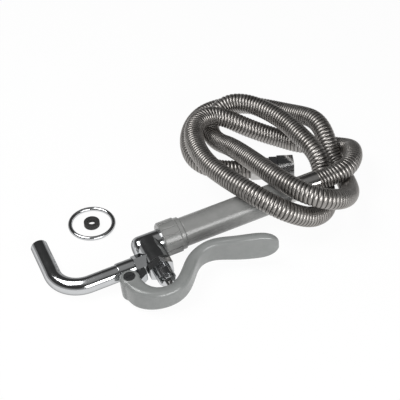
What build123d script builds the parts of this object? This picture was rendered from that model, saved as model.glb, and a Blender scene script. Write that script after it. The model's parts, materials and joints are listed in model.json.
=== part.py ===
"""Hand-held pot filler: hook spout, squeeze valve, grip and coiled metal hose.

The wand is drawn in its own frame, millimetres: the origin is where the valve stem's axis
crosses the grip's axis, +X runs along the grip towards the hose, -Y is the lever's side.
It is then laid on the bench, nose down, as it rests with its hose coiled beside it.
"""

import os
from math import cos, radians, sin, tan

from build123d import *

os.makedirs("parts", exist_ok=True)

# How the wand lies: the place and height of its origin, and how far its rear end is raised
WAND_X = -42.4
WAND_Y = -8.0
WAND_HEIGHT = 16.6
WAND_PITCH = 4.5
LAID = Location((WAND_X, WAND_Y, WAND_HEIGHT), (0, -WAND_PITCH, 0))

# Clearances
RUN_CLEAR = 0.05
LOOSE_CLEAR = 0.3

# Valve body: the inlet barrel lies along the grip, the valve chamber across it
BARREL_RADIUS = 11.5
BARREL_NOSE = 15.0
BARREL_NOSE_ROUND = 8.0
INLET_BORE_RADIUS = 8.0
BARREL_END = 26.0
CHAMBER_RADIUS = 13.0
CHAMBER_BORE_RADIUS = 10.0
CHAMBER_FLOOR = 13.0
CHAMBER_END = 29.2

# Outlet: a hexagonal boss in front of the chamber, a round adapter and the spout tube
OUTLET_OFFSET = 19.9
OUTLET_BORE_RADIUS = 4.5
OUTLET_THREAD_RADIUS = 6.9
OUTLET_THREAD_DEPTH = 9.0
HEX_FLATS = 18.5
HEX_FRONT = 21.6
ADAPTER_RADIUS = 9.2
ADAPTER_LENGTH = 17.0
ADAPTER_EDGE = 0.8
ADAPTER_SPIGOT = 10.0
SPOUT_RADIUS = 8.25
SPOUT_WALL = 1.2
SPOUT_STRAIGHT = 27.5
SPOUT_BEND_RADIUS = 28.0
SPOUT_TIP = 42.0
SPOUT_DROOP = 0.5

# Valve mechanism, measured along the stem's axis from the grip's axis
SEAT_THICKNESS = 3.0
SEAT_BORE_RADIUS = 4.6
STEM_RADIUS = 3.0
STEM_TIP = 60.0
STEM_COLLAR_RADIUS = 6.2
STEM_COLLAR_THICKNESS = 2.0
WASHER_RADIUS = 7.0
WASHER_THICKNESS = 3.0
WASHER_SCREW_RADIUS = 1.5
WASHER_SCREW_LENGTH = 8.0
WASHER_SCREW_HEAD_RADIUS = 3.4
WASHER_SCREW_HEAD = 2.0
SPRING_WIRE_RADIUS = 0.6
SPRING_COIL_RADIUS = 5.2
SPRING_TURNS = 6

# Bonnet, its gasket, stem seal and packing nut
GASKET_THICKNESS = 0.8
BONNET_FLATS = 2 * CHAMBER_RADIUS - 3.0
BONNET_HEX = 7.0
BONNET_RADIUS = 8.6
BONNET_END = 49.0
BONNET_STUB = 4.0
BONNET_POCKET_RADIUS = 7.0
BONNET_POCKET_END = 43.0
SEAL_RADIUS = 5.4
SEAL_DEPTH = 3.0
PACKING_NUT_RADIUS = 7.0
PACKING_NUT_LENGTH = 3.6

# Lever: an S-shaped bar, slotted at its pivot for the body's lug
PIVOT_X = -33.0
PIVOT_Y = -40.0
LUG_RADIUS = 6.4
LUG_ROOT_X = -18.0
LUG_ROOT_Y = -34.5
LUG_ROOT_RADIUS = 3.6
LUG_THICKNESS = 9.0
LEVER_EYE_RADIUS = 9.5
LEVER_EYE_HEIGHT = 26.0
LEVER_EYE_EDGE = 3.5
FORK_CLEAR = 0.6
FORK_SWING_CLEAR = 2.4
PIVOT_RADIUS = 3.0
PIVOT_HEAD_RADIUS = 5.6
PIVOT_HEAD_HEIGHT = 2.2
PIVOT_SLOT_WIDTH = 1.2
LEVER_LINE = [
    (-33, -40), (-27.5, -57), (-9, -68.5), (12.5, -60.5), (29, -42.5),
    (47, -35), (68, -41), (98, -52.5), (112, -57.5),
]
# Share of the way along the bar, its height, its thickness and its corners' radius there
LEVER_SECTIONS = [
    (0.00, 26, 18, 4.0),
    (0.08, 25, 16, 4.6),
    (0.17, 22.5, 13.5, 5.2),
    (0.30, 21, 12.5, 5.4),
    (0.42, 21, 12, 5.2),
    (0.53, 21, 11, 4.8),
    (0.63, 24, 10.5, 4.6),
    (0.76, 28, 10, 4.4),
    (0.88, 30, 9.5, 4.2),
    (0.95, 26, 8.5, 3.8),
    (0.985, 18, 6, 2.8),
    (1.00, 9, 3, 1.4),
]

# Coupling nut, grip, handle tube and the hose's ferrule
NUT_START = 14.0
NUT_LENGTH = 21.5
NUT_RADIUS = 17.4
NUT_EDGE = 1.2
NUT_FLUTES = 14
NUT_FLUTE_RADIUS = 0.8
NUT_FLUTE_DEPTH = 0.7
NUT_COLLAR_RADIUS = 16.2
NUT_COLLAR_LENGTH = 3.5
COUPLING_WASHER_THICKNESS = 1.8
HANDLE_TUBE_RADIUS = 9.5
HANDLE_TUBE_BORE = 7.0
HANDLE_FLANGE_THICKNESS = 2.4
GRIP_RADIUS = 14.6
GRIP_LENGTH = 114.0
GRIP_EDGE = 1.6
FERRULE_RADIUS = 11.6
FERRULE_EDGE = 1.0
FERRULE_LENGTH = 36.5
FERRULE_SOCKET = 13.0

# Hose and its inlet end
HOSE_RADIUS = 10.25
HOSE_ARC_SHARE = 0.45
INLET_HEADING = -21.0
INLET_FERRULE_LENGTH = 20.0
COLLAR_FLATS = 22.0
COLLAR_LENGTH = 8.0
SPUD_RADIUS = 7.5
SPUD_BORE = 5.0
SPUD_FLANGE_RADIUS = 9.2
SPUD_FLANGE_THICKNESS = 2.0
SWIVEL_FLATS = 24.0
SWIVEL_LENGTH = 17.0
SWIVEL_THREAD_RADIUS = 9.6
SWIVEL_LIP = 3.0
SWIVEL_RELIEF_RADIUS = 10.2

# Loose pieces that lie beside the valve: the hold-down ring and the inlet washer
RING_X = -76.4
RING_Y = 58.4
RING_RADIUS = 21.8
RING_WIRE_RADIUS = 2.1
INLET_WASHER_RADIUS = 8.0
INLET_WASHER_BORE = 3.7
INLET_WASHER_HEIGHT = 5.0
INLET_WASHER_EDGE = 0.6

# The hose's route on the bench, from the ferrule to the inlet end
HOSE_POINTS = [
    (168, -8, 34.5), (181, -5, 35), (194, 7, 34), (204.5, 25, 29), (210, 39, 21.5), (206.5, 54.5, 14.5),
    (196, 67, 11), (182, 73, 10.5), (170, 79, 10.5), (158, 90, 10.5), (142, 101, 15), (122, 111, 24),
    (106, 119, 33.5), (92, 124, 38), (77, 121, 39), (65, 108, 40), (58, 90, 41), (53, 67, 42.5),
    (51, 41, 46), (54, 17, 50), (60, -7, 53), (69, -28, 53), (82, -41, 47), (97, -46, 38),
    (114, -46, 27), (132, -39, 17), (146, -27, 11.5), (154, -13, 10.5), (159, 0, 12.5), (162, 12, 22.5),
    (163, 23.5, 33), (162, 38, 37), (160, 57, 38), (158, 77, 38.5), (153, 97, 38.5), (144, 115, 38.5),
    (132, 130, 37.5), (120, 139.5, 32.5), (105, 139, 23), (94, 129, 15), (91, 113, 14), (91, 96, 20.5),
    (91, 78, 30.5), (92, 42, 41.5), (94, 4, 51.5), (100, -27, 56.5), (110, -47, 57), (125, -56, 53),
    (142, -53, 44), (158, -42, 32), (171, -28, 22), (180, -13, 14), (185, 0, 10.5), (187, 13, 10.5),
    (188, 26, 12.5), (186.5, 38, 20), (186.5, 50, 29), (186, 64, 34.5), (184, 80, 34.5), (181, 98, 28),
    (177, 122, 18), (170, 144, 11), (156, 158, 10.5), (141, 168, 10.5), (123, 173, 10.5), (103, 170, 10.5),
    (85, 158, 10.5), (71, 140, 10.5), (61, 120, 10.5), (57, 101, 10.5), (62, 83, 10.5), (75, 71, 10.5),
]
# Where the hose ends in its inlet ferrule, and the straight stub at either end
INLET_POINT = (101.3, 57.0, 12.1)
HOSE_STUB = 13.0

# Places that follow from the sizes above
BONNET_SEAT = CHAMBER_END + GASKET_THICKNESS
WASHER_FACE = CHAMBER_FLOOR
ADAPTER_END = HEX_FRONT + ADAPTER_LENGTH
NUT_END = NUT_START + NUT_LENGTH
FLANGE_START = BARREL_END + COUPLING_WASHER_THICKNESS
NUT_SHOULDER = FLANGE_START + HANDLE_FLANGE_THICKNESS
GRIP_START = NUT_END + LOOSE_CLEAR
GRIP_END = GRIP_START + GRIP_LENGTH
FERRULE_START = GRIP_END + LOOSE_CLEAR
FERRULE_END = FERRULE_START + FERRULE_LENGTH
HANDLE_TUBE_END = FERRULE_START + FERRULE_SOCKET

STEM_PLANE = Plane(origin=(0, 0, 0), x_dir=(1, 0, 0), z_dir=(0, -1, 0))
OUTLET_PLANE = Plane(origin=(0, -OUTLET_OFFSET, 0), x_dir=(0, 0, 1), z_dir=(-1, 0, 0))
GRIP_PLANE = Plane(origin=(0, 0, 0), x_dir=(0, 1, 0), z_dir=(1, 0, 0))


def rod(plane, start, end, radius, mode=Mode.ADD):
    """Add or cut a round bar along a plane's normal, between two distances from it."""
    with BuildSketch(plane.offset(start)) as section:
        Circle(radius)
    extrude(section.sketch, amount=end - start, mode=mode)


def hexagon(plane, start, end, flats, turn=0):
    """Add a hexagonal bar along a plane's normal, between two distances from it."""
    with BuildSketch(plane.offset(start)) as section:
        RegularPolygon(flats / 2, 6, major_radius=False, rotation=turn)
    extrude(section.sketch, amount=end - start)


# Valve body: one casting with its inlet barrel, valve chamber, outlet boss and pivot lug
with BuildPart() as valve_body:
    rod(GRIP_PLANE, -BARREL_NOSE, BARREL_END, BARREL_RADIUS)
    fillet(valve_body.edges().sort_by(Axis.X)[0], BARREL_NOSE_ROUND)
    rod(STEM_PLANE, 0, CHAMBER_END, CHAMBER_RADIUS)
    hexagon(OUTLET_PLANE, 0, HEX_FRONT, HEX_FLATS)
    with BuildSketch():
        with Locations((PIVOT_X, PIVOT_Y)):
            Circle(LUG_RADIUS)
        with Locations((LUG_ROOT_X, LUG_ROOT_Y)):
            Circle(LUG_ROOT_RADIUS)
        make_hull()
        with Locations((LUG_ROOT_X, (LUG_ROOT_Y - OUTLET_OFFSET) / 2)):
            Rectangle(2 * LUG_ROOT_RADIUS, -LUG_ROOT_Y - OUTLET_OFFSET)
    extrude(amount=LUG_THICKNESS / 2, both=True)
    rod(GRIP_PLANE, -INLET_BORE_RADIUS, BARREL_END, INLET_BORE_RADIUS, Mode.SUBTRACT)
    rod(STEM_PLANE, 0, CHAMBER_FLOOR, INLET_BORE_RADIUS, Mode.SUBTRACT)
    rod(STEM_PLANE, CHAMBER_FLOOR, CHAMBER_END, CHAMBER_BORE_RADIUS, Mode.SUBTRACT)
    rod(OUTLET_PLANE, 0, HEX_FRONT, OUTLET_BORE_RADIUS, Mode.SUBTRACT)
    rod(OUTLET_PLANE, HEX_FRONT - OUTLET_THREAD_DEPTH, HEX_FRONT, OUTLET_THREAD_RADIUS, Mode.SUBTRACT)
    with Locations((PIVOT_X, PIVOT_Y)):
        Cylinder(PIVOT_RADIUS + RUN_CLEAR, LUG_THICKNESS, mode=Mode.SUBTRACT)
valve_body.part.label = "valve_body"
export_step(valve_body.part.moved(LAID), "parts/valve_body.step")

# Valve seat: a ring screwed into the chamber's floor from the bonnet's side
with BuildPart() as valve_seat:
    rod(STEM_PLANE, CHAMBER_FLOOR, CHAMBER_FLOOR + SEAT_THICKNESS, CHAMBER_BORE_RADIUS - RUN_CLEAR)
    rod(STEM_PLANE, CHAMBER_FLOOR, CHAMBER_FLOOR + SEAT_THICKNESS, SEAT_BORE_RADIUS, Mode.SUBTRACT)
valve_seat.part.label = "valve_seat"
export_step(valve_seat.part.moved(LAID), "parts/valve_seat.step")

# Stem: a round rod with the spring's collar, drilled at its inner end for the washer's screw
with BuildPart() as valve_stem:
    rod(STEM_PLANE, WASHER_FACE, STEM_TIP, STEM_RADIUS)
    fillet(valve_stem.edges().sort_by(Axis.Y)[0], STEM_RADIUS / 2)
    rod(
        STEM_PLANE,
        BONNET_POCKET_END - STEM_COLLAR_THICKNESS - LOOSE_CLEAR,
        BONNET_POCKET_END - LOOSE_CLEAR,
        STEM_COLLAR_RADIUS,
    )
    rod(
        STEM_PLANE,
        WASHER_FACE,
        WASHER_FACE + WASHER_SCREW_LENGTH,
        WASHER_SCREW_RADIUS + RUN_CLEAR,
        Mode.SUBTRACT,
    )
valve_stem.part.label = "valve_stem"
export_step(valve_stem.part.moved(LAID), "parts/valve_stem.step")

# Seat washer and the screw that holds it to the stem
with BuildPart() as seat_washer:
    rod(STEM_PLANE, WASHER_FACE - WASHER_THICKNESS, WASHER_FACE, WASHER_RADIUS)
    rod(
        STEM_PLANE,
        WASHER_FACE - WASHER_THICKNESS,
        WASHER_FACE,
        WASHER_SCREW_RADIUS + RUN_CLEAR,
        Mode.SUBTRACT,
    )
seat_washer.part.label = "seat_washer"
export_step(seat_washer.part.moved(LAID), "parts/seat_washer.step")

SCREW_SEAT = WASHER_FACE - WASHER_THICKNESS
with BuildPart() as washer_screw:
    rod(STEM_PLANE, SCREW_SEAT - WASHER_SCREW_HEAD, SCREW_SEAT, WASHER_SCREW_HEAD_RADIUS)
    rod(STEM_PLANE, SCREW_SEAT, WASHER_FACE + WASHER_SCREW_LENGTH - LOOSE_CLEAR, WASHER_SCREW_RADIUS)
washer_screw.part.label = "washer_screw"
export_step(washer_screw.part.moved(LAID), "parts/washer_screw.step")

# Return spring: a helix of round wire between the seat and the stem's collar
SPRING_START = CHAMBER_FLOOR + SEAT_THICKNESS + SPRING_WIRE_RADIUS + RUN_CLEAR
SPRING_END = (
    BONNET_POCKET_END - STEM_COLLAR_THICKNESS - LOOSE_CLEAR - SPRING_WIRE_RADIUS - RUN_CLEAR
)
SPRING_LENGTH = SPRING_END - SPRING_START
with BuildPart() as return_spring:
    with BuildLine() as spring_line:
        Helix(
            SPRING_LENGTH / SPRING_TURNS,
            SPRING_LENGTH,
            SPRING_COIL_RADIUS,
            center=(0, -SPRING_START, 0),
            direction=(0, -1, 0),
        )
    with BuildSketch(Plane(origin=spring_line.line @ 0, z_dir=spring_line.line % 0)):
        Circle(SPRING_WIRE_RADIUS)
    sweep(path=spring_line.line, is_frenet=True)
return_spring.part.label = "return_spring"
export_step(return_spring.part.moved(LAID), "parts/return_spring.step")

# Bonnet: a hexagon and a round neck that guide the stem and close the chamber
with BuildPart() as bonnet:
    hexagon(STEM_PLANE, BONNET_SEAT, BONNET_SEAT + BONNET_HEX, BONNET_FLATS, turn=30)
    rod(STEM_PLANE, BONNET_SEAT, BONNET_END, BONNET_RADIUS)
    rod(STEM_PLANE, BONNET_SEAT - BONNET_STUB, BONNET_SEAT, CHAMBER_BORE_RADIUS - RUN_CLEAR)
    rod(STEM_PLANE, BONNET_SEAT - BONNET_STUB, BONNET_POCKET_END, BONNET_POCKET_RADIUS, Mode.SUBTRACT)
    rod(STEM_PLANE, BONNET_POCKET_END, BONNET_END, STEM_RADIUS + RUN_CLEAR, Mode.SUBTRACT)
    rod(STEM_PLANE, BONNET_END - SEAL_DEPTH, BONNET_END, SEAL_RADIUS + RUN_CLEAR, Mode.SUBTRACT)
bonnet.part.label = "bonnet"
export_step(bonnet.part.moved(LAID), "parts/bonnet.step")

with BuildPart() as bonnet_gasket:
    rod(STEM_PLANE, CHAMBER_END, BONNET_SEAT, CHAMBER_RADIUS - LOOSE_CLEAR)
    rod(STEM_PLANE, CHAMBER_END, BONNET_SEAT, CHAMBER_BORE_RADIUS, Mode.SUBTRACT)
bonnet_gasket.part.label = "bonnet_gasket"
export_step(bonnet_gasket.part.moved(LAID), "parts/bonnet_gasket.step")

with BuildPart() as stem_seal:
    rod(STEM_PLANE, BONNET_END - SEAL_DEPTH, BONNET_END, SEAL_RADIUS)
    rod(STEM_PLANE, BONNET_END - SEAL_DEPTH, BONNET_END, STEM_RADIUS + RUN_CLEAR, Mode.SUBTRACT)
stem_seal.part.label = "stem_seal"
export_step(stem_seal.part.moved(LAID), "parts/stem_seal.step")

with BuildPart() as packing_nut:
    rod(STEM_PLANE, BONNET_END, BONNET_END + PACKING_NUT_LENGTH, PACKING_NUT_RADIUS)
    chamfer(packing_nut.edges().sort_by(Axis.Y)[0], PACKING_NUT_LENGTH / 4)
    rod(STEM_PLANE, BONNET_END, BONNET_END + PACKING_NUT_LENGTH, STEM_RADIUS + RUN_CLEAR, Mode.SUBTRACT)
packing_nut.part.label = "packing_nut"
export_step(packing_nut.part.moved(LAID), "parts/packing_nut.step")

# Spout adapter: screwed into the outlet boss, with a spigot inside the spout tube
with BuildPart() as spout_adapter:
    rod(OUTLET_PLANE, HEX_FRONT, ADAPTER_END, ADAPTER_RADIUS)
    fillet(spout_adapter.edges().filter_by(GeomType.CIRCLE), ADAPTER_EDGE)
    rod(
        OUTLET_PLANE,
        HEX_FRONT - OUTLET_THREAD_DEPTH + LOOSE_CLEAR,
        HEX_FRONT,
        OUTLET_THREAD_RADIUS - RUN_CLEAR,
    )
    rod(OUTLET_PLANE, ADAPTER_END, ADAPTER_END + ADAPTER_SPIGOT, SPOUT_RADIUS - SPOUT_WALL - RUN_CLEAR)
    rod(
        OUTLET_PLANE,
        HEX_FRONT - OUTLET_THREAD_DEPTH,
        ADAPTER_END + ADAPTER_SPIGOT,
        OUTLET_BORE_RADIUS,
        Mode.SUBTRACT,
    )
spout_adapter.part.label = "spout_adapter"
export_step(spout_adapter.part.moved(LAID), "parts/spout_adapter.step")

# Hook spout: a bent tube, turned a little about its neck so that its tip rests on the bench
SPOUT_BEND_X = -(ADAPTER_END + SPOUT_STRAIGHT)
SPOUT_END_X = SPOUT_BEND_X - SPOUT_BEND_RADIUS
SPOUT_BEND_Y = SPOUT_BEND_RADIUS
DROOPED = Plane(
    origin=(0, -OUTLET_OFFSET, 0),
    x_dir=(1, 0, 0),
    z_dir=(0, sin(radians(SPOUT_DROOP)), cos(radians(SPOUT_DROOP))),
)
with BuildPart() as hook_spout:
    with BuildLine(DROOPED) as spout_line:
        Line((-ADAPTER_END, 0), (SPOUT_BEND_X, 0))
        RadiusArc((SPOUT_BEND_X, 0), (SPOUT_END_X, SPOUT_BEND_Y), SPOUT_BEND_RADIUS)
        Line((SPOUT_END_X, SPOUT_BEND_Y), (SPOUT_END_X, SPOUT_BEND_Y + SPOUT_TIP))
    with BuildSketch(OUTLET_PLANE.offset(ADAPTER_END)):
        Circle(SPOUT_RADIUS)
        Circle(SPOUT_RADIUS - SPOUT_WALL, mode=Mode.SUBTRACT)
    sweep(path=spout_line.line)
hook_spout.part.label = "hook_spout"
export_step(hook_spout.part.moved(LAID), "parts/hook_spout.step")

# Lever: a lofted S-shaped bar whose front end is slotted for the lug, closed on its outer side
with BuildLine() as lever_line:
    Spline(*LEVER_LINE)
with BuildPart() as lever:
    with Locations((PIVOT_X, PIVOT_Y)):
        Cylinder(LEVER_EYE_RADIUS, LEVER_EYE_HEIGHT)
    fillet(lever.edges().filter_by(GeomType.CIRCLE), LEVER_EYE_EDGE)
    for share, height, thickness, corner in LEVER_SECTIONS:
        middle = lever_line.line @ share
        along = lever_line.line % share
        with BuildSketch(Plane(origin=middle, x_dir=(0, 0, 1), z_dir=along)):
            RectangleRounded(height, thickness, corner)
    loft()
    with BuildSketch():
        with Locations((PIVOT_X, PIVOT_Y)):
            Circle(LUG_RADIUS + FORK_CLEAR)
        with Locations((LUG_ROOT_X, LUG_ROOT_Y)):
            Circle(LUG_ROOT_RADIUS + FORK_SWING_CLEAR)
        make_hull()
    extrude(amount=LUG_THICKNESS / 2 + LOOSE_CLEAR, both=True, mode=Mode.SUBTRACT)
    with Locations((PIVOT_X, PIVOT_Y)):
        Cylinder(PIVOT_RADIUS + RUN_CLEAR, LEVER_EYE_HEIGHT, mode=Mode.SUBTRACT)
    with Locations((PIVOT_X, PIVOT_Y, LEVER_EYE_HEIGHT / 2 - PIVOT_HEAD_HEIGHT / 2)):
        Cylinder(PIVOT_HEAD_RADIUS + RUN_CLEAR, PIVOT_HEAD_HEIGHT, mode=Mode.SUBTRACT)
lever.part.label = "lever"
export_step(lever.part.moved(LAID), "parts/lever.step")

# Pivot screw: a slotted head sunk in the lever's upper cheek
with BuildPart() as pivot_screw:
    with Locations((PIVOT_X, PIVOT_Y)):
        Cylinder(PIVOT_RADIUS, LEVER_EYE_HEIGHT)
    with Locations((PIVOT_X, PIVOT_Y, LEVER_EYE_HEIGHT / 2 - PIVOT_HEAD_HEIGHT / 2)):
        Cylinder(PIVOT_HEAD_RADIUS, PIVOT_HEAD_HEIGHT)
    with Locations((PIVOT_X, PIVOT_Y, LEVER_EYE_HEIGHT / 2)):
        Box(2 * PIVOT_HEAD_RADIUS, PIVOT_SLOT_WIDTH, PIVOT_HEAD_HEIGHT, mode=Mode.SUBTRACT)
pivot_screw.part.label = "pivot_screw"
export_step(pivot_screw.part.moved(LAID), "parts/pivot_screw.step")

# Coupling nut: grooved outside, with a plain collar behind, it draws the handle tube's flange against the valve body
with BuildPart() as coupling_nut:
    rod(GRIP_PLANE, NUT_START, NUT_END - NUT_COLLAR_LENGTH, NUT_RADIUS)
    chamfer(coupling_nut.edges().filter_by(GeomType.CIRCLE), NUT_EDGE)
    with BuildSketch(GRIP_PLANE.offset(NUT_START)):
        with PolarLocations(NUT_RADIUS + NUT_FLUTE_RADIUS - NUT_FLUTE_DEPTH, NUT_FLUTES):
            Circle(NUT_FLUTE_RADIUS)
    extrude(amount=NUT_LENGTH - NUT_COLLAR_LENGTH, mode=Mode.SUBTRACT)
    rod(GRIP_PLANE, NUT_START, NUT_END, NUT_COLLAR_RADIUS)
    rod(GRIP_PLANE, NUT_START, NUT_SHOULDER, BARREL_RADIUS + RUN_CLEAR, Mode.SUBTRACT)
    rod(GRIP_PLANE, NUT_SHOULDER, NUT_END, HANDLE_TUBE_RADIUS + RUN_CLEAR, Mode.SUBTRACT)
coupling_nut.part.label = "coupling_nut"
export_step(coupling_nut.part.moved(LAID), "parts/coupling_nut.step")

with BuildPart() as coupling_washer:
    rod(GRIP_PLANE, BARREL_END, FLANGE_START, BARREL_RADIUS - LOOSE_CLEAR)
    rod(GRIP_PLANE, BARREL_END, FLANGE_START, INLET_BORE_RADIUS, Mode.SUBTRACT)
coupling_washer.part.label = "coupling_washer"
export_step(coupling_washer.part.moved(LAID), "parts/coupling_washer.step")

# Handle tube: the brass water way inside the grip, flanged at the valve
with BuildPart() as handle_tube:
    rod(GRIP_PLANE, FLANGE_START, HANDLE_TUBE_END, HANDLE_TUBE_RADIUS)
    rod(GRIP_PLANE, FLANGE_START, NUT_SHOULDER, BARREL_RADIUS - LOOSE_CLEAR)
    rod(GRIP_PLANE, FLANGE_START, HANDLE_TUBE_END, HANDLE_TUBE_BORE, Mode.SUBTRACT)
handle_tube.part.label = "handle_tube"
export_step(handle_tube.part.moved(LAID), "parts/handle_tube.step")

# Grip: the plain grey sleeve over the handle tube
with BuildPart() as grip:
    rod(GRIP_PLANE, GRIP_START, GRIP_END, GRIP_RADIUS)
    fillet(grip.edges().filter_by(GeomType.CIRCLE), GRIP_EDGE)
    rod(GRIP_PLANE, GRIP_START, GRIP_END, HANDLE_TUBE_RADIUS + RUN_CLEAR, Mode.SUBTRACT)
grip.part.label = "grip"
export_step(grip.part.moved(LAID), "parts/grip.step")

# Hose ferrule: screwed on the handle tube's rear end, with the hose fixed to its end face
with BuildPart() as hose_ferrule:
    rod(GRIP_PLANE, FERRULE_START, FERRULE_END, FERRULE_RADIUS)
    chamfer(hose_ferrule.edges().filter_by(GeomType.CIRCLE), FERRULE_EDGE)
    rod(GRIP_PLANE, FERRULE_START, HANDLE_TUBE_END, HANDLE_TUBE_RADIUS + RUN_CLEAR, Mode.SUBTRACT)
    rod(GRIP_PLANE, HANDLE_TUBE_END, FERRULE_END, HANDLE_TUBE_BORE, Mode.SUBTRACT)
hose_ferrule.part.label = "hose_ferrule"
export_step(hose_ferrule.part.moved(LAID), "parts/hose_ferrule.step")

# Hose: a round tube along straight runs joined by tangent arcs
hose_start = LAID * Location((FERRULE_END, 0, 0))
stub_end = LAID * Location((FERRULE_END + HOSE_STUB, 0, 0))
INLET_PLANE = Plane(
    origin=INLET_POINT,
    x_dir=(0, 0, 1),
    z_dir=(cos(radians(INLET_HEADING)), sin(radians(INLET_HEADING)), 0),
)
route = [hose_start.position, stub_end.position]
route += [Vector(*point) for point in HOSE_POINTS]
route += [INLET_PLANE.offset(-HOSE_STUB).origin, INLET_PLANE.origin]
radii = []
for before, here, after in zip(route, route[1:], route[2:]):
    turn = (here - before).get_angle(after - here)
    shorter = min((here - before).length, (after - here).length)
    radii.append(HOSE_ARC_SHARE * shorter / tan(radians(turn) / 2))
print("hose bend radii, mm:", [round(radius) for radius in radii])
with BuildPart() as hose:
    with BuildLine() as hose_line:
        FilletPolyline(*route, radius=radii)
    with BuildSketch(Plane(origin=route[0], z_dir=route[1] - route[0])):
        Circle(HOSE_RADIUS)
    sweep(path=hose_line.line)
print("hose length, mm:", round(hose_line.wire().length, 1))
hose.part.label = "hose"
export_step(hose.part, "parts/hose.step")

# Inlet end: a ferrule, a hexagonal collar with its spud, and the swivel nut that turns on it
COLLAR_END = INLET_FERRULE_LENGTH + COLLAR_LENGTH
SWIVEL_START = COLLAR_END + LOOSE_CLEAR
SWIVEL_SEAT = SWIVEL_START + SWIVEL_LIP + LOOSE_CLEAR
SPUD_END = SWIVEL_SEAT + SPUD_FLANGE_THICKNESS
THREAD_START = SPUD_END + LOOSE_CLEAR
SWIVEL_END = SWIVEL_START + SWIVEL_LENGTH
with BuildPart() as inlet_ferrule:
    rod(INLET_PLANE, 0, INLET_FERRULE_LENGTH, FERRULE_RADIUS)
    chamfer(inlet_ferrule.edges().filter_by(GeomType.CIRCLE), FERRULE_EDGE)
    rod(INLET_PLANE, 0, INLET_FERRULE_LENGTH, SPUD_BORE, Mode.SUBTRACT)
inlet_ferrule.part.label = "inlet_ferrule"
export_step(inlet_ferrule.part, "parts/inlet_ferrule.step")

with BuildPart() as inlet_spud:
    hexagon(INLET_PLANE, INLET_FERRULE_LENGTH, COLLAR_END, COLLAR_FLATS, turn=30)
    rod(INLET_PLANE, COLLAR_END, SPUD_END, SPUD_RADIUS)
    rod(INLET_PLANE, SWIVEL_SEAT, SPUD_END, SPUD_FLANGE_RADIUS)
    rod(INLET_PLANE, INLET_FERRULE_LENGTH, SPUD_END, SPUD_BORE, Mode.SUBTRACT)
inlet_spud.part.label = "inlet_spud"
export_step(inlet_spud.part, "parts/inlet_spud.step")

with BuildPart() as swivel_nut:
    hexagon(INLET_PLANE, SWIVEL_START, SWIVEL_END, SWIVEL_FLATS, turn=30)
    rod(INLET_PLANE, SWIVEL_START, SWIVEL_START + SWIVEL_LIP, SPUD_RADIUS + RUN_CLEAR, Mode.SUBTRACT)
    rod(INLET_PLANE, SWIVEL_START + SWIVEL_LIP, THREAD_START, SWIVEL_RELIEF_RADIUS, Mode.SUBTRACT)
    rod(INLET_PLANE, THREAD_START, SWIVEL_END, SWIVEL_THREAD_RADIUS, Mode.SUBTRACT)
swivel_nut.part.label = "swivel_nut"
export_step(swivel_nut.part, "parts/swivel_nut.step")

# Loose pieces: the hold-down ring lies flat, with the inlet washer inside it
with BuildPart() as hold_down_ring:
    with BuildSketch(Plane(origin=(RING_X, RING_Y, RING_WIRE_RADIUS), x_dir=(1, 0, 0), z_dir=(0, -1, 0))):
        with Locations((RING_RADIUS, 0)):
            Circle(RING_WIRE_RADIUS)
    revolve(axis=Axis((RING_X, RING_Y, 0), (0, 0, 1)))
hold_down_ring.part.label = "hold_down_ring"
export_step(hold_down_ring.part, "parts/hold_down_ring.step")

with BuildPart() as inlet_washer:
    with BuildSketch():
        with Locations((RING_X, RING_Y)):
            Circle(INLET_WASHER_RADIUS)
            Circle(INLET_WASHER_BORE, mode=Mode.SUBTRACT)
    extrude(amount=INLET_WASHER_HEIGHT)
    fillet(inlet_washer.edges().filter_by(GeomType.CIRCLE), INLET_WASHER_EDGE)
inlet_washer.part.label = "inlet_washer"
export_step(inlet_washer.part, "parts/inlet_washer.step")
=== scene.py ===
import json
from math import cos, pi, radians, sin

import bpy
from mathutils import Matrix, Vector


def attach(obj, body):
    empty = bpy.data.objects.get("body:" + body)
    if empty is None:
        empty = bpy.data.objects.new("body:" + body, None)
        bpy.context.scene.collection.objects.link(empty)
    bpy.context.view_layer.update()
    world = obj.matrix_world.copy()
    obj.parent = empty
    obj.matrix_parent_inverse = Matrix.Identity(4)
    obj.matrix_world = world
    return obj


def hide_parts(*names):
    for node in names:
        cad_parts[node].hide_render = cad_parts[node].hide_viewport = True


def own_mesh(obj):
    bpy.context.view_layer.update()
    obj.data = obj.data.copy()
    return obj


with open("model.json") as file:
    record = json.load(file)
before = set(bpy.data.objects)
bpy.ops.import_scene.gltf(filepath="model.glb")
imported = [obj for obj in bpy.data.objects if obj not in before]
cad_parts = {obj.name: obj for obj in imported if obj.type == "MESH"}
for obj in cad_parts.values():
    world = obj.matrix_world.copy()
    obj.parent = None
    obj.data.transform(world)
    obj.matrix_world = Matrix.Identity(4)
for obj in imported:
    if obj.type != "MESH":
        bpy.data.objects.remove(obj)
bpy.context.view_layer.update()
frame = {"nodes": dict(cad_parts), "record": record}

nodes = frame["nodes"]

# Camera: the photograph's view, in metres and degrees
VIEW_TARGET = Vector((0.0385, 0.0472, 0.0))
VIEW_AZIMUTH = -24.6
VIEW_ELEVATION = 42.0
VIEW_DISTANCE = 0.99
VIEW_ANGLE = 23.73

# Stage: a sheet of white paper in a room with bright and dark bands
PAPER_RADIUS = 0.62
PAPER_SIDES = 96
PAPER_GAP = 0.0002
PAPER_WHITE_SHARE = 0.95
# Height of a direction in the room, from 0 at the horizon to 1 overhead, and how bright it is there
ROOM_BANDS = [(0.0, 0.4), (0.2, 0.4), (0.32, 0.05), (0.8, 0.05), (0.92, 0.3), (1.0, 0.3)]
# Lamps: name, place, the point it is turned to, width, height and power in watts
LAMPS = [
    ("key_light", (-0.45, 0.15, 0.9), (0.03, 0.03, 0), 0.7, 0.5, 8),
    ("front_light", (0.15, -0.95, 0.45), (0.05, 0.03, 0), 0.9, 0.4, 9),
]

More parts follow.
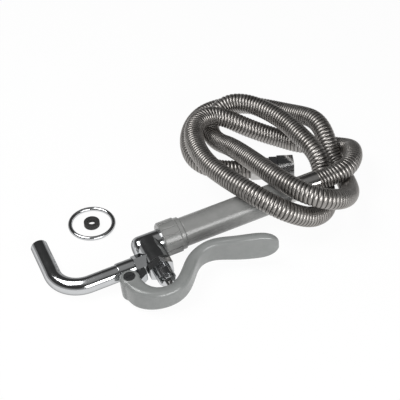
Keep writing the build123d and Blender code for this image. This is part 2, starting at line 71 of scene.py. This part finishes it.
# Finishes: where the noise starts and stops to change a finish, and how deep its bumps are
GRAIN_LOW = 0.3
GRAIN_HIGH = 0.7
BUMP_DEPTH = 0.0004
BUMP_FINENESS = 6

# Hose: its route from the wand's ferrule to the inlet ferrule, its ribs and its length
HOSE_DIAMETER = 0.0205
RIB_PITCH = 0.0036
RIB_SIDES = 26
# Share of a rib's pitch, and how deep the surface lies there below the hose's outside
RIB_PROFILE = [(0.0, 0.0011), (0.13, 0.00035), (0.33, 0.00004), (0.6, 0.0), (0.87, 0.00035)]
HOSE_ROUTE = [
    (0.14362, -0.008, 0.03124), (0.15658, -0.008, 0.03226),
    (0.168, -0.008, 0.0345), (0.181, -0.005, 0.035), (0.194, 0.006, 0.034), (0.2035, 0.021, 0.029),
    (0.2092, 0.034, 0.0215), (0.206, 0.048, 0.0145), (0.196, 0.0605, 0.0108), (0.182, 0.068, 0.0105),
    (0.1695, 0.0765, 0.0105), (0.158, 0.09, 0.0105), (0.142, 0.101, 0.015), (0.122, 0.112, 0.024),
    (0.104, 0.124, 0.0338), (0.089, 0.13, 0.038), (0.073, 0.126, 0.039), (0.06, 0.112, 0.04),
    (0.052, 0.091, 0.041), (0.048, 0.067, 0.0425), (0.048, 0.041, 0.046), (0.0525, 0.016, 0.05),
    (0.059, -0.0075, 0.053), (0.0685, -0.029, 0.0525), (0.0815, -0.0425, 0.046), (0.097, -0.0475, 0.0365),
    (0.114, -0.047, 0.0255), (0.132, -0.039, 0.0165), (0.146, -0.027, 0.0115), (0.154, -0.013, 0.0105),
    (0.159, 0.0, 0.0125), (0.162, 0.012, 0.0225), (0.163, 0.0235, 0.033), (0.162, 0.038, 0.037),
    (0.16, 0.057, 0.038), (0.158, 0.077, 0.0385), (0.153, 0.098, 0.0387), (0.144, 0.1185, 0.0388),
    (0.132, 0.135, 0.0382), (0.119, 0.1455, 0.0345), (0.104, 0.1465, 0.0265), (0.0915, 0.138, 0.0175),
    (0.0875, 0.123, 0.0142), (0.089, 0.106, 0.0165), (0.0905, 0.082, 0.0285), (0.092, 0.042, 0.0415),
    (0.094, 0.004, 0.0515), (0.1, -0.027, 0.0565), (0.11, -0.047, 0.057), (0.125, -0.056, 0.053),
    (0.142, -0.053, 0.044), (0.158, -0.042, 0.032), (0.171, -0.028, 0.022), (0.18, -0.013, 0.014),
    (0.185, 0.0, 0.0105), (0.187, 0.013, 0.0105), (0.188, 0.025, 0.0125), (0.1864, 0.036, 0.02),
    (0.1885, 0.05, 0.03), (0.1905, 0.066, 0.0348), (0.19, 0.082, 0.0343), (0.187, 0.1, 0.0275),
    (0.181, 0.1235, 0.0175), (0.172, 0.1445, 0.011), (0.157, 0.159, 0.0105), (0.141, 0.168, 0.0105),
    (0.122, 0.1718, 0.0105), (0.101, 0.17, 0.0105), (0.083, 0.159, 0.0105), (0.0685, 0.1415, 0.0105),
    (0.059, 0.121, 0.0105), (0.0555, 0.101, 0.0105), (0.061, 0.083, 0.0105), (0.0745, 0.07, 0.0107),
    (0.08916, 0.06166, 0.0121), (0.1013, 0.057, 0.0121),
]


def add_node(tree, kind, **inputs):
    """Add a shader node and set its inputs by name."""
    node = tree.nodes.new(kind)
    for name, value in inputs.items():
        node.inputs[name].default_value = value
    return node


def finish_material(name, dark, light, metallic, smooth, rough, grain, bump=0.0, edge=1.0):
    """A procedural finish: noise mixes two colours and two roughnesses; edge dims it at a flat angle."""
    material = bpy.data.materials.new(name)
    material.use_nodes = True
    tree = material.node_tree
    shader = tree.nodes["Principled BSDF"]
    shader.inputs["Metallic"].default_value = metallic
    shader.inputs["Specular Tint"].default_value = (edge, edge, edge, 1)
    place = tree.nodes.new("ShaderNodeTexCoord")
    noise = add_node(tree, "ShaderNodeTexNoise", Scale=grain, Detail=4.0, Roughness=0.6)
    tree.links.new(place.outputs["Object"], noise.inputs["Vector"])
    colour = tree.nodes.new("ShaderNodeValToRGB")
    colour.color_ramp.elements[0].position = GRAIN_LOW
    colour.color_ramp.elements[0].color = (*dark, 1)
    colour.color_ramp.elements[1].position = GRAIN_HIGH
    colour.color_ramp.elements[1].color = (*light, 1)
    tree.links.new(noise.outputs["Fac"], colour.inputs["Fac"])
    tree.links.new(colour.outputs["Color"], shader.inputs["Base Color"])
    spread = tree.nodes.new("ShaderNodeMapRange")
    spread.inputs["From Min"].default_value = GRAIN_LOW
    spread.inputs["From Max"].default_value = GRAIN_HIGH
    spread.inputs["To Min"].default_value = smooth
    spread.inputs["To Max"].default_value = rough
    tree.links.new(noise.outputs["Fac"], spread.inputs["Value"])
    tree.links.new(spread.outputs["Result"], shader.inputs["Roughness"])
    if bump:
        fine = add_node(tree, "ShaderNodeTexNoise", Scale=grain * BUMP_FINENESS, Detail=3.0)
        tree.links.new(place.outputs["Object"], fine.inputs["Vector"])
        relief = add_node(tree, "ShaderNodeBump", Strength=bump, Distance=BUMP_DEPTH)
        tree.links.new(fine.outputs["Fac"], relief.inputs["Height"])
        tree.links.new(relief.outputs["Normal"], shader.inputs["Normal"])
    return material


CHROME = finish_material(
    "chrome", (0.56, 0.57, 0.58), (0.64, 0.65, 0.66),
    metallic=1.0, smooth=0.09, rough=0.15, grain=60, edge=0.3,
)
STEEL = finish_material(
    "turned_steel", (0.42, 0.41, 0.40), (0.54, 0.53, 0.52),
    metallic=1.0, smooth=0.14, rough=0.24, grain=220, bump=0.05,
)
RIB_STEEL = finish_material(
    "rib_steel", (0.27, 0.255, 0.24), (0.38, 0.365, 0.35),
    metallic=1.0, smooth=0.34, rough=0.44, grain=90, bump=0.04,
)
# Painted shade: a near-black steel for the faces at the bottom of each rib's groove, so the grooves look
# dark as if in shade
RIB_GROOVE_PAINTED_SHADE = finish_material(
    "rib_groove_painted_shade", (0.05, 0.047, 0.044), (0.09, 0.085, 0.08), metallic=1.0, smooth=0.4, rough=0.55, grain=90
)
BRASS = finish_material(
    "brass", (0.62, 0.46, 0.22), (0.72, 0.56, 0.30),
    metallic=1.0, smooth=0.22, rough=0.32, grain=150, bump=0.03,
)
GREY_COAT = finish_material(
    "grey_coat", (0.195, 0.203, 0.199), (0.218, 0.225, 0.220),
    metallic=0.0, smooth=0.2, rough=0.24, grain=120,
)
GREY_PLASTIC = finish_material(
    "grey_plastic", (0.200, 0.203, 0.197), (0.224, 0.225, 0.220),
    metallic=0.0, smooth=0.22, rough=0.27, grain=160,
)
RUBBER = finish_material(
    "black_rubber", (0.012, 0.012, 0.012), (0.025, 0.025, 0.025),
    metallic=0.0, smooth=0.6, rough=0.75, grain=200, bump=0.15,
)

FINISHES = {
    "chrome": CHROME,
    "steel": STEEL,
    "hose_steel": RIB_STEEL,
    "brass": BRASS,
    "grey_lever": GREY_COAT,
    "grey_grip": GREY_PLASTIC,
    "black_rubber": RUBBER,
}
for subpart in frame["record"]["subparts"]:
    piece = nodes[subpart["node"]]
    piece.data.materials.clear()
    piece.data.materials.append(FINISHES[subpart["material_slot"]])


def smooth_line(points):
    """Points along a NURBS spline that has these control points."""
    curve = bpy.data.curves.new("hose_route", "CURVE")
    curve.dimensions = "3D"
    curve.resolution_u = 12
    spline = curve.splines.new("NURBS")
    spline.points.add(len(points) - 1)
    for control, point in zip(spline.points, points):
        control.co = (*point, 1)
    spline.order_u = 3
    spline.use_endpoint_u = True
    carrier = bpy.data.objects.new("hose_route", curve)
    line = bpy.data.meshes.new_from_object(carrier)
    found = [vertex.co.copy() for vertex in line.vertices]
    bpy.data.objects.remove(carrier)
    bpy.data.meshes.remove(line)
    return found


def frames_along(line):
    """Distance, place and two cross directions at each point of a line, without twist."""
    tangents = []
    for index in range(len(line)):
        before = line[max(index - 1, 0)]
        after = line[min(index + 1, len(line) - 1)]
        tangents.append((after - before).normalized())
    across = tangents[0].cross(Vector((0, 0, 1))).normalized()
    frames = []
    distance = 0.0
    for index, (point, tangent) in enumerate(zip(line, tangents)):
        if index:
            distance += (point - line[index - 1]).length
            across = tangents[index - 1].rotation_difference(tangent) @ across
        across = (across - tangent * across.dot(tangent)).normalized()
        frames.append((distance, point, across, tangent.cross(across)))
    return frames


class Path:
    """A line that gives its place and cross directions at any distance along it."""

    def __init__(self, line):
        self.frames = frames_along(line)
        self.length = self.frames[-1][0]
        self.index = 0

    def at(self, distance):
        """The place and the two cross directions at this distance."""
        distance = min(max(distance, 0.0), self.length)
        while self.index and self.frames[self.index][0] > distance:
            self.index -= 1
        while self.index < len(self.frames) - 2 and self.frames[self.index + 1][0] < distance:
            self.index += 1
        first = self.frames[self.index]
        second = self.frames[self.index + 1]
        share = (distance - first[0]) / max(second[0] - first[0], 1e-9)
        return [a.lerp(b, share) for a, b in zip(first[1:], second[1:])]


def ribbed_hose(path):
    """A tube whose ribs wind along it as one helix, closed at both ends."""
    rows_per_rib = len(RIB_PROFILE)
    ribs = round(path.length / RIB_PITCH)
    pitch = path.length / ribs
    vertices = []
    for row in range(-rows_per_rib, ribs * rows_per_rib + 1):
        rib, place = divmod(row, rows_per_rib)
        share, depth = RIB_PROFILE[place]
        for side in range(RIB_SIDES):
            angle = 2 * pi * side / RIB_SIDES
            distance = (rib + share + side / RIB_SIDES) * pitch
            centre, across, up = path.at(distance)
            inside = 0 < distance < path.length
            radius = HOSE_DIAMETER / 2 - (depth if inside else RIB_PROFILE[0][1])
            vertices.append(centre + (across * cos(angle) + up * sin(angle)) * radius)
    faces = []
    shaded_grooves = []
    rows = len(vertices) // RIB_SIDES
    for row in range(rows - 1):
        for side in range(RIB_SIDES):
            a = row * RIB_SIDES + side
            if side < RIB_SIDES - 1:
                b = a + 1
                corners = (a, b, b + RIB_SIDES, a + RIB_SIDES)
            else:
                wrapped = (row + rows_per_rib) * RIB_SIDES
                if row + rows_per_rib + 1 >= rows:
                    continue
                corners = (a, wrapped, wrapped + RIB_SIDES, a + RIB_SIDES)
            faces.append(corners)
            # The faces at the bottom of each groove get the near-black painted-shade material
            shaded_grooves.append(row % rows_per_rib in (0, rows_per_rib - 1))
    mesh = bpy.data.meshes.new("ribbed_hose")
    mesh.from_pydata(vertices, [], faces)
    mesh.materials.append(RIB_STEEL)
    mesh.materials.append(RIB_GROOVE_PAINTED_SHADE)
    for polygon, shaded_groove in zip(mesh.polygons, shaded_grooves):
        polygon.material_index = int(shaded_groove)
        polygon.use_smooth = True
    mesh.validate()
    piece = bpy.data.objects.new("ribbed_hose", mesh)
    bpy.context.scene.collection.objects.link(piece)
    return piece


hose_line = smooth_line(HOSE_ROUTE)
hose = ribbed_hose(Path(hose_line))
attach(hose, "wand")
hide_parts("hose")


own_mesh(nodes["return_spring"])


def paper_material():
    """White paper: mostly white by itself where it is seen, so that only a faint shadow stays."""
    material = bpy.data.materials.new("paper")
    material.use_nodes = True
    tree = material.node_tree
    tree.nodes.clear()
    output = tree.nodes.new("ShaderNodeOutputMaterial")
    paper = add_node(tree, "ShaderNodeBsdfDiffuse", Color=(0.9, 0.9, 0.9, 1))
    white = add_node(tree, "ShaderNodeEmission", Color=(1, 1, 1, 1), Strength=1.0)
    rays = tree.nodes.new("ShaderNodeLightPath")
    seen = rays.outputs["Is Camera Ray"]
    for ray in ("Is Glossy Ray", "Is Transmission Ray"):
        either = tree.nodes.new("ShaderNodeMath")
        either.operation = "MAXIMUM"
        tree.links.new(seen, either.inputs[0])
        tree.links.new(rays.outputs[ray], either.inputs[1])
        seen = either.outputs["Value"]
    share = tree.nodes.new("ShaderNodeMath")
    share.operation = "MULTIPLY"
    share.inputs[1].default_value = PAPER_WHITE_SHARE
    tree.links.new(seen, share.inputs[0])
    mix = tree.nodes.new("ShaderNodeMixShader")
    tree.links.new(share.outputs["Value"], mix.inputs["Fac"])
    tree.links.new(paper.outputs["BSDF"], mix.inputs[1])
    tree.links.new(white.outputs["Emission"], mix.inputs[2])
    tree.links.new(mix.outputs["Shader"], output.inputs["Surface"])
    return material


def paper_floor():
    """A round sheet of white paper under the object, just wide enough for the camera."""
    mesh = bpy.data.meshes.new("floor")
    rim = []
    for step in range(PAPER_SIDES):
        angle = 2 * pi * step / PAPER_SIDES
        rim.append((PAPER_RADIUS * cos(angle), PAPER_RADIUS * sin(angle), 0))
    mesh.from_pydata(rim, [], [range(PAPER_SIDES)])
    mesh.materials.append(paper_material())
    piece = bpy.data.objects.new("floor", mesh)
    piece.location = (VIEW_TARGET.x, VIEW_TARGET.y, -PAPER_GAP)
    bpy.context.scene.collection.objects.link(piece)


def softbox(name, place, aim, width, height, power):
    """A flat rectangular lamp at a place, turned to a point."""
    lamp = bpy.data.lights.new(name, "AREA")
    lamp.shape = "RECTANGLE"
    lamp.size = width
    lamp.size_y = height
    lamp.energy = power
    carrier = bpy.data.objects.new(name, lamp)
    carrier.location = place
    carrier.rotation_euler = (Vector(aim) - Vector(place)).to_track_quat("-Z", "Y").to_euler()
    bpy.context.scene.collection.objects.link(carrier)


def studio_world():
    """A dark room with a bright band along the walls and a bright ceiling."""
    world = bpy.data.worlds.new("studio")
    bpy.context.scene.world = world
    world.use_nodes = True
    tree = world.node_tree
    room = tree.nodes["Background"]
    place = tree.nodes.new("ShaderNodeTexCoord")
    split = tree.nodes.new("ShaderNodeSeparateXYZ")
    tree.links.new(place.outputs["Generated"], split.inputs["Vector"])
    ramp = tree.nodes.new("ShaderNodeValToRGB")
    stops = ramp.color_ramp.elements
    while len(stops) < len(ROOM_BANDS):
        stops.new(0.5)
    for stop, (height, bright) in zip(stops, ROOM_BANDS):
        stop.position = height
        stop.color = (bright, bright, bright, 1)
    tree.links.new(split.outputs["Z"], ramp.inputs["Fac"])
    tree.links.new(ramp.outputs["Color"], room.inputs["Color"])


def camera():
    """The camera that sees the object as the photograph shows it."""
    azimuth = radians(VIEW_AZIMUTH)
    elevation = radians(VIEW_ELEVATION)
    back = Vector((sin(azimuth) * cos(elevation), -cos(azimuth) * cos(elevation), sin(elevation)))
    lens = bpy.data.cameras.new("camera")
    lens.sensor_fit = "HORIZONTAL"
    lens.angle = radians(VIEW_ANGLE)
    carrier = bpy.data.objects.new("camera", lens)
    carrier.location = VIEW_TARGET + back * VIEW_DISTANCE
    carrier.rotation_euler = (-back).to_track_quat("-Z", "Y").to_euler()
    bpy.context.scene.collection.objects.link(carrier)
    bpy.context.scene.camera = carrier


paper_floor()
studio_world()
for lamp_settings in LAMPS:
    softbox(*lamp_settings)
camera()
bpy.context.scene.view_settings.view_transform = "Standard"
